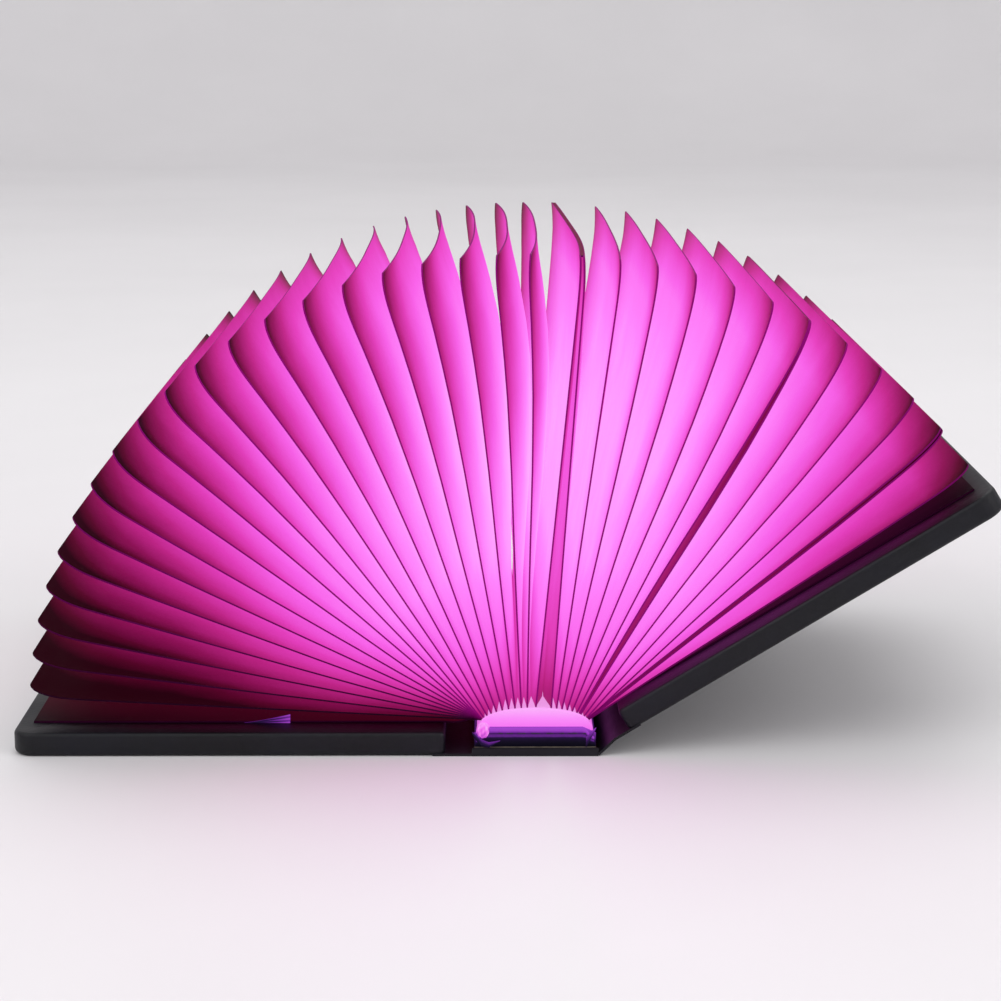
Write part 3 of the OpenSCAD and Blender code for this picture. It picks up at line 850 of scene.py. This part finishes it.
def wrap():
    """The lining over the spine's near end, bulging out and lit from above."""

    def centre(s, v):
        z, out = WRAP_PROFILE[s]
        x = v * WRAP_HALF_W
        drop = WRAP_DROP * smoothstep((abs(x) - (WRAP_HALF_W - WRAP_SHOULDER)) / WRAP_SHOULDER)
        ripple = sum(depth * math.sin(by_x * x + by_z * z) for depth, by_x, by_z in RIPPLES)
        y = -(LINING_END_Y + out + ripple * min(out / RIPPLE_FROM, 1))
        return np.array([x, y, z - drop * (z - SPINE_TOP) / (WRAP_TOP - SPINE_TOP)])

    def half(s, v):
        return np.array([0, -WRAP_OUTER_T, 0]), np.array([0, -WRAP_INNER_T, 0])

    def glow(s, v):
        z = WRAP_PROFILE[s][0]
        return look_up(WRAP_GLOW, z) - SEAM_SHADE * math.exp(-((z - SEAM_Z) / SEAM_W) ** 2)

    build = Build()
    thin_sheet(build, centre, half, range(len(WRAP_PROFILE)), both_ways(40), glow, WRAP_EDGE_GLOW)
    obj = build.make("lining_wrap", [WRAP, WRAP])
    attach(obj, "spine")


def tube(build, path, radii):
    """A tube through points, with a radius at each of them."""
    rows = []
    for k, p in enumerate(path):
        d = path[min(k + 1, len(path) - 1)] - path[max(k - 1, 0)]
        d /= np.linalg.norm(d)
        u = np.cross(d, (0, 1, 0.01))
        u /= np.linalg.norm(u)
        w = np.cross(d, u)
        ring = []
        for t in np.linspace(0, 2 * math.pi, STITCH_SIDES + 1):
            ring.append(tuple(p + radii[k] * (math.cos(t) * u + math.sin(t) * w)))
        rows.append(ring)
    build.grid(rows)


def stitches():
    build = Build()
    for x, length in STITCHES:
        path = []
        for t in STITCH_R:
            y = -(LINING_END_Y + STITCH_OUT) - STITCH_ARCH * math.sin(math.pi * t)
            path.append(np.array([x - length / 2 + length * t, y, SEAM_Z]))
        tube(build, path, list(STITCH_R.values()))
    obj = build.make("lining_stitches", [THREAD])
    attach(obj, "spine")


def corner(name, points, heights, glows):
    """A turned corner of the lining: a ribbon on edge that follows points in X and Z.

    heights are its half heights at the points, and glows its light at its two ends.
    """
    n = len(points) - 1

    def centre(s, v):
        k = min(int(s), n - 1)
        x, z = mix(np.array(points[k]), np.array(points[k + 1]), s - k)
        h = mix(heights[k], heights[k + 1], s - k)
        y = -(LINING_END_Y + CORNER_OUT) + CORNER_WAVE * math.sin(CORNER_TURN * s)
        return np.array([x, y, z + v * h])

    def half(s, v):
        return np.array([0, -CORNER_HALF_T, 0]), np.array([0, -CORNER_HALF_T, 0])

    def glow(s, v):
        return mix(*glows, s / n) + CORNER_TOP_GLOW * v

    build = Build()
    thin_sheet(build, centre, half, steps(0, n, 12) + [n], both_ways(4), glow, CORNER_EDGE_GLOW)
    obj = build.make(name, [WRAP, WRAP])
    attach(obj, "spine")


def pucker():
    """The crumpled bulge of the diffuser's left end."""
    rows, light = [], []
    for a in range(PUCKER_STEPS + 1):
        t = math.pi * a / PUCKER_STEPS
        rows.append([])
        light.append([])
        for b in range(PUCKER_SIDES + 1):
            f = 2 * math.pi * b / PUCKER_SIDES
            crease = math.sin(5 * f + 3 * t) * math.sin(4 * t) + 0.6 * math.sin(9 * f - 2 * t)
            r = 1 + CREASE_DEPTH * crease * math.sin(t)
            d = (math.sin(t) * math.cos(f), math.sin(t) * math.sin(f), math.cos(t))
            rows[-1].append(tuple(PUCKER_AT[k] + r * PUCKER_R[k] * d[k] for k in range(3)))
            light[-1].append(PUCKER_GLOW + PUCKER_TOP_GLOW * math.cos(t) + CREASE_GLOW * crease * math.sin(t))
    build = Build()
    build.grid(rows, 0, light, flip=True)
    obj = build.make("diffuser_pucker", [PUCKER])
    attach(obj, "spine")


flap()
wrap()
stitches()
corner("lining_corner_left", LEFT_CORNER, heights=(0.3, 0.5, 0.65, 0.5, 0.04), glows=(0.12, 0.42))
corner("lining_corner_right", RIGHT_CORNER, heights=(1.0, 0.8, 0.5, 0.08), glows=(0.3, 0.7))
pucker()


# Materials of the carried-over nodes

LOOKS = {
    "spine_skin": SKIN,
    "spine_board": BOARD,
    "spine_lining": LINING,
    "diffuser": DIFFUSER,
    "tray": TRAY,
    "cell": FOIL,
    "cell_pad": FOAM,
    "cell_leads": SHEATH,
    "led_board": BOARD_WHITE,
    "leds": LED,
    "control_board": BOARD_GREEN,
    "charging_socket": STEEL,
    "reed_switch": GLASS,
    "back_board": BOARD,
    "back_magnets": NICKEL,
    "front_board": BOARD,
    "front_magnets": NICKEL,
}


def dress(node, look):
    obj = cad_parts[node]
    if not obj.data.materials:
        obj.data.materials.append(look)
    for slot in obj.material_slots:
        slot.link = "OBJECT"
        slot.material = look


for node, look in LOOKS.items():
    dress(node, look)


# Floor, backdrop, lights and camera. Lights and camera are placed in metres, and power is in watts.

BOWL_R, BOWL_CURVE, BOWL_H = 1600.0, 500.0, 1500.0
BOWL_RINGS, BOWL_STEPS = (1, 300, 800), 12
FLOOR_DROP = 0.02
FLOOR_SIDES = 64
LIGHTS = {"key": ((-0.7, -0.7, 0.9), 4), "fill": ((0.9, -0.5, 0.6), 3), "top": ((0.1, 0.5, 1.1), 3)}
LIGHT_SIZE, LIGHTS_AIM = 0.9, (0, 0, 0.04)
SKY = 0.85
CAMERA_AT = (-0.0092, -0.5262, 0.14685)
CAMERA_PITCH, CAMERA_YAW = 11.674, 0.303
LENS, SENSOR_W = 89.86, 36


def floor():
    """A round floor that curves up into a backdrop on every side."""
    m, nodes, links, shader = material("floor_paint")
    grain = noise(nodes, links, 3.0)
    tone = ramp(nodes, links, grain, {0.3: linear((226, 224, 226)), 0.7: linear((232, 230, 232))})
    links.new(tone, shader.inputs["Base Color"])
    value(shader, Roughness=0.6, Specular_IOR_Level=0.3)
    profile = [(r, 0.0) for r in (*BOWL_RINGS, BOWL_R)]
    for k in range(1, BOWL_STEPS + 1):
        a = math.radians(90 * k / BOWL_STEPS)
        profile.append((BOWL_R + BOWL_CURVE * math.sin(a), BOWL_CURVE * (1 - math.cos(a))))
    profile.append((BOWL_R + BOWL_CURVE, BOWL_H))
    turns = [math.radians(360 * k / FLOOR_SIDES) for k in range(FLOOR_SIDES + 1)]
    rows = []
    for r, z in profile:
        rows.append([(r * math.cos(t), r * math.sin(t), z - FLOOR_DROP) for t in turns])
    build = Build()
    build.grid(rows, flip=True)
    build.cap(range(FLOOR_SIDES))
    build.make("floor", [m])


def light(name, where, power):
    data = bpy.data.lights.new(name, "AREA")
    data.energy = power
    data.shape = "DISK"
    data.size = LIGHT_SIZE
    obj = bpy.data.objects.new(name, data)
    bpy.context.collection.objects.link(obj)
    obj.location = where
    d = np.array(LIGHTS_AIM) - np.array(where)
    obj.rotation_euler = (math.atan2(math.hypot(d[0], d[1]), -d[2]), 0, math.atan2(-d[0], d[1]))


def sky():
    world = bpy.data.worlds.new("studio")
    world.use_nodes = True
    value(world.node_tree.nodes["Background"], Color=(1, 1, 1, 1), Strength=SKY)
    bpy.context.scene.world = world


def camera():
    data = bpy.data.cameras.new("camera")
    data.lens = LENS
    data.sensor_width = SENSOR_W
    obj = bpy.data.objects.new("camera", data)
    bpy.context.collection.objects.link(obj)
    obj.location = CAMERA_AT
    obj.rotation_euler = (math.radians(90 - CAMERA_PITCH), 0, math.radians(-CAMERA_YAW))
    bpy.context.scene.camera = obj
    bpy.context.scene.view_settings.view_transform = "Standard"


floor()
for name, (where, power) in LIGHTS.items():
    light(name, where, power)
sky()
camera()
